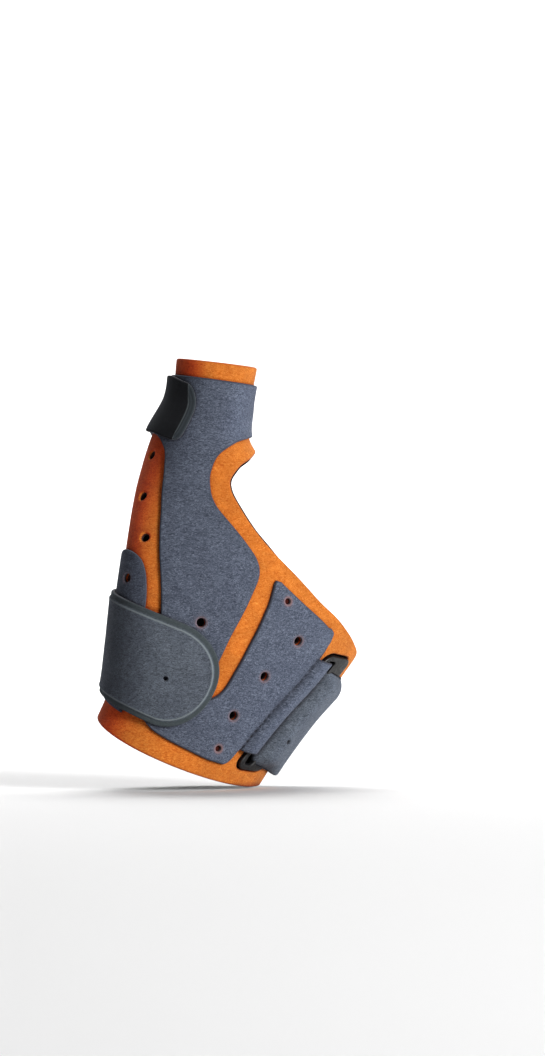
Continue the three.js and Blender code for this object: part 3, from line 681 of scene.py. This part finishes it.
# Ring: one flat loop of black moulded plastic that lies in the shell's slot. The dorsal cover's tongue
# holds it by its slim bar, and the wrist strap's end by its broad one.
RING_THICKNESS, GAP_CORNER = 1.8, 1.0
plastic, moulded = shader("ring_plastic", roughness=0.42)
where = add_node(plastic, "ShaderNodeTexCoord").outputs["Object"]
cloud = add_node(plastic, "ShaderNodeTexNoise", {"Vector": where}, Scale=900, Detail=4).outputs["Fac"]
plastic.node_tree.links.new(colour_between(plastic, cloud, linear(5, 4, 5), linear(13, 12, 13)),
                            moulded.inputs["Base Color"])
plastic.node_tree.links.new(share_between(plastic, cloud, 0.3, 0.7, 0.35, 0.6), moulded.inputs["Roughness"])
grain = add_node(plastic, "ShaderNodeBump", {"Height": cloud}, Strength=0.2, Distance=0.0001)
plastic.node_tree.links.new(grain.outputs[0], moulded.inputs["Normal"])
ring = cut_cloth("ring", plate_edge(RING_SIDES, RING_LENGTH, RING_CORNER),
                 [plate_edge(RING_GAP, RING_LENGTH - 2 * RING_BAR, GAP_CORNER)],
                 -RING_THICKNESS / 2, RING_THICKNESS / 2, [plastic] * 4, soft=(0.5, 0.5), spacing=1.0)
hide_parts("strap_ring")
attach(ring, "root")

# Wrist strap: one band of dark grey hook-and-loop velour, 35 mm wide. Its broader end is doubled round the
# ring's broad bar, and it runs round the little-finger side and the palm to a round tail that sticks to the
# covers. Its cut edge is pressed flat by heat, which leaves a thin line inside it.
STRAP_LEVEL, SIDE_LEVEL, STRAP_END_LEVEL, STRAP_END_SLOPE = 0.195, 0.154, 0.191, 0.0012
STRAP_WIDTH, STRAP_END_WIDTH, STRAP_WALL = 35, 39.2, 1.8
STRAP_TAIL_TURN, PALM_EDGE_TURN = -272, -72
DOUBLED_TO, SINGLE_FROM = 34, 46  # millimetres along the strap
STRAP_CHART = (1, 1)


def ease(value, low, high):
    """A share that goes smoothly from 0 at low to 1 at high."""
    share = np.clip((value - low) / (high - low), 0, 1)
    return share * share * (3 - 2 * share)


def strap_middle(turn):
    """The level of the strap's middle, which runs down beside the ring and up again on the palm."""
    side = STRAP_LEVEL + (SIDE_LEVEL - STRAP_LEVEL) * ease(turn, PALM_EDGE_TURN, 0)
    end = STRAP_END_LEVEL - STRAP_END_SLOPE * 0.57 * np.clip(RING_TURN - turn, 0, 21)
    return side + (end - side) * ease(turn, 2, 19)


strap_turns = np.linspace(ring_line(STRAP_END_LEVEL), STRAP_TAIL_TURN, 1500)
strap_course = place(strap_turns, strap_middle(strap_turns), 1.3)
strap_run = np.concatenate([[0], np.cumsum(np.linalg.norm(np.diff(strap_course, axis=0), axis=1))])
strap_line = fold_line([
    (15, 1.75), (11.5, 1.85), (9.5, 2.1), (7.6, 2.45), (5.9, 2.6), (4.5, 2.5), (3.2, 2.1), (2.1, 1.4),
    (1.4, 0.6), (1.15, -0.2), (1.25, -0.9), (1.7, -1.6), (2.6, -2.05), (3.8, -2.15)])
STRAP_START, STRAP_REACH = 15, strap_line[0][-1]


def place_strap(along, across, lift):
    """The strap's places, by millimetres along and across it. lift is -1 at its back and 1 at its face."""
    lift = np.broadcast_to(lift, along.shape)
    single = ease(along, DOUBLED_TO, SINGLE_FROM)
    half = STRAP_WALL / 2 * (0.75 + 0.95 * (1 - single) * ease(along, 0, 6) + 0.25 * single)
    over, height = on_fold(strap_line, np.clip(STRAP_START - along, 0, None), half * lift)
    folded = along < STRAP_START
    beside = np.where(folded, over, along)
    turn = np.interp(beside, strap_run, strap_turns, left=strap_turns[0])
    middle = strap_middle(turn)
    level = middle + across / form_scale(turn, middle)[1]
    near = 1 - ease(along, 12, DOUBLED_TO)
    turn = near * beside_ring(level + STRAP_END_SLOPE * np.clip(beside, 0, 15), -beside) + (1 - near) * turn
    back = 0.15 + 1.2 * (1 - ease(turn, PALM_EDGE_TURN - 20, PALM_EDGE_TURN + 5))
    settle = (back + half - 1.75) * ease(along, 10, 15)
    return place(turn, level, np.where(folded, height + settle, back + half + half * lift))


tail, strap_flap = strap_run[-1], STRAP_START - STRAP_REACH
bend = np.linspace(-np.pi / 2, np.pi / 2, 240)
side_run = np.linspace(strap_flap, tail - STRAP_WIDTH / 2, 700)
side_width = STRAP_WIDTH / 2 + (STRAP_END_WIDTH - STRAP_WIDTH) / 2 * ease(
    np.interp(side_run, strap_run, strap_turns), 2, 19)
strap_sides = [
    np.stack([side_run, -side_width], axis=1),
    np.stack([tail - STRAP_WIDTH / 2 * (1 - np.cos(bend)), STRAP_WIDTH / 2 * np.sin(bend)], axis=1),
    np.stack([side_run, side_width], axis=1)[::-1],
    straight((strap_flap, side_width[0]), (strap_flap, -side_width[0]))]
strap_edge = np.concatenate([evenly(side, place_strap) for side in strap_sides])


def pressed_rim(spots, distance):
    """The rim of the strap lies lower than its middle. The folded end has round corners and a few creases."""
    along, across = spots.T
    flat = ease(along, 30, 40)
    rim = (0.14 * np.exp(-((distance - 2.5) / 0.35)**2) - 0.4 * (1 - ease(distance, 1.7, 2.2))) * flat
    from_side = STRAP_END_WIDTH / 2 - np.abs(across)
    roll_end = -2.2 * np.clip(1 - from_side / 4.5, 0, 1)**2 * (1 - ease(along, 10, 24))
    waves = np.sin(across * 0.9 + np.sin(across * 0.37) * 2.4 + along * 0.25)
    creases = 0.1 * waves * np.exp(-((along - 3) / 5)**2)
    return (rim + roll_end + creases) / STRAP_WALL * 2


strap_velour = velour("strap_velour", linear(54, 58, 64), linear(78, 84, 93), linear(106, 112, 121),
                      linear(50, 57, 57), linear(40, 44, 46), rim=1.9, line=linear(112, 120, 122))
PINHOLES, PINHOLE_BORE = [(115 - 360, -1.3), (28.5, -7.8)], 1.5  # turn, and millimetres across the strap
pinholes = [round_hole(np.interp(-turn, -strap_turns, strap_run), across, PINHOLE_BORE, place_strap,
                       STRAP_CHART) for turn, across in PINHOLES]
strap = cut_cloth("strap", strap_edge, pinholes, -1, 1, [strap_velour, grey_cut, dark_lining, grey_cut],
                  lay=place_strap, chart=STRAP_CHART, soft=(0.5, 0.3), lines=(1.3, 1.6, 1.9, 2.2, 2.6, 3.2),
                  relief=pressed_rim, no_rim=lambda spots: 1 - ease(spots[:, 0], 20, 44))
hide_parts("wrist_strap")
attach(strap, "root")

# Thumb tab: a short band of almost black velour with a round end, sewn on behind the thumb and stuck to the
# thumb cover over its front. A thin pressed line follows its round end.
TAB_LEVEL, TAB_DROP, TAB_FROM, TAB_END, TAB_WIDTH, TAB_ROUNDING = 0.884, 0.018, 235, 106, 22, 20
tab_turns = TAB_FROM + (TAB_END - TAB_FROM) * np.sin(np.linspace(0, np.pi / 2, 500))
tab_middle = TAB_LEVEL - TAB_DROP * (1 - ease(tab_turns, TAB_END, 165))
tab_left = np.clip((tab_turns - TAB_END) / TAB_ROUNDING, 0, 1)
tab_half = TAB_WIDTH / 2 * np.sqrt(1 - (1 - tab_left)**2) / form_scale(tab_turns, tab_middle)[1]
tab_low = np.stack([tab_turns, tab_middle - tab_half], axis=1)
tab_high = np.stack([tab_turns, tab_middle + tab_half], axis=1)
tab_edge = np.concatenate([evenly(side) for side in (
    tab_low, tab_high[::-1], straight(tab_high[0], tab_low[0]))])


def tab_line(spots, distance):
    """The tab's round end is pressed lower at its rim, with a thin ridge inside it."""
    round_end = 1 - ease(spots[:, 0], TAB_END + 14, TAB_END + 30)
    return (-0.25 * (1 - ease(distance, 1.1, 1.6)) + 0.1 * np.exp(-((distance - 1.8) / 0.3)**2)) * round_end


tab_velour = velour("tab_velour", linear(8, 8, 9), linear(16, 17, 19), linear(30, 32, 35),
                    linear(48, 54, 58), linear(14, 15, 16), sheen=0.06, rim=1.6, line=linear(96, 104, 106))
tab = cut_cloth("tab", tab_edge, [], 1.35, 2.65, [tab_velour, grey_cut, dark_lining, grey_cut],
                soft=(0.5, 0.3), lines=(0.9, 1.2, 1.5, 1.8, 2.2), relief=tab_line,
                no_rim=lambda spots: ease(spots[:, 0], TAB_END + 12, TAB_END + 24))
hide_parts("thumb_tab")
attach(tab, "root")

# Stage: a plain pale floor that curves up into a wall behind, painted matt. A broad soft lamp on the right
# lights the splint, a weak one fills its shadows, and one from above makes the wall white.
backdrop_line = [(-3.2, 0), (1.9, 0), (2.3, 0.05), (2.55, 0.2), (2.65, 0.5), (2.7, 2.2)]
half_width, count = 3, len(backdrop_line)
floor_height = cad_box[0][2] - 0.0002
stage_mesh = bpy.data.meshes.new("sweep")
corners = [(x, y, z + floor_height) for x in (-half_width, half_width) for y, z in backdrop_line]
stage_mesh.from_pydata(corners, [], [(i, i + 1, i + count + 1, i + count) for i in range(count - 1)])
sweep = bpy.data.objects.new("sweep", stage_mesh)
bpy.context.scene.collection.objects.link(sweep)
sweep_paint, _ = shader("sweep_paint", roughness=0.9, base_color=(0.8, 0.8, 0.8, 1))
stage_mesh.materials.append(sweep_paint)


def soft_light(name, power, size, position, target):
    """A square lamp of this many watts and metres a side, turned to its target."""
    lamp = bpy.data.lights.new(name, "AREA")
    lamp.energy, lamp.size = power, size
    light = bpy.data.objects.new(name, lamp)
    light.location = position
    light.rotation_euler = (Vector(target) - Vector(position)).to_track_quat("-Z", "Y").to_euler()
    bpy.context.scene.collection.objects.link(light)


soft_light("key", 44, 0.7, (1.2, -1.3, 0.5), (0, 0, 0.02))
soft_light("fill", 1, 1.0, (-0.3, -1.6, 0.7), (0, 0, 0.04))
soft_light("backdrop_light", 90, 1.6, (0, 1.2, 1.9), (0, 2.3, 0.1))
world = bpy.data.worlds.new("studio")
world.use_nodes = True
world.node_tree.nodes["Background"].inputs["Color"].default_value = (1, 1, 1, 1)
world.node_tree.nodes["Background"].inputs["Strength"].default_value = 0.03
bpy.context.scene.world = world
bpy.context.scene.view_settings.view_transform = "Standard"

lens = bpy.data.cameras.new("camera")
lens.lens, lens.clip_end = 200, 20
camera = bpy.data.objects.new("camera", lens)
camera.location = (0.0204, -1.965, 0.0512)
camera.rotation_euler = (np.pi / 2, 0, 0)
bpy.context.scene.collection.objects.link(camera)
bpy.context.scene.camera = camera
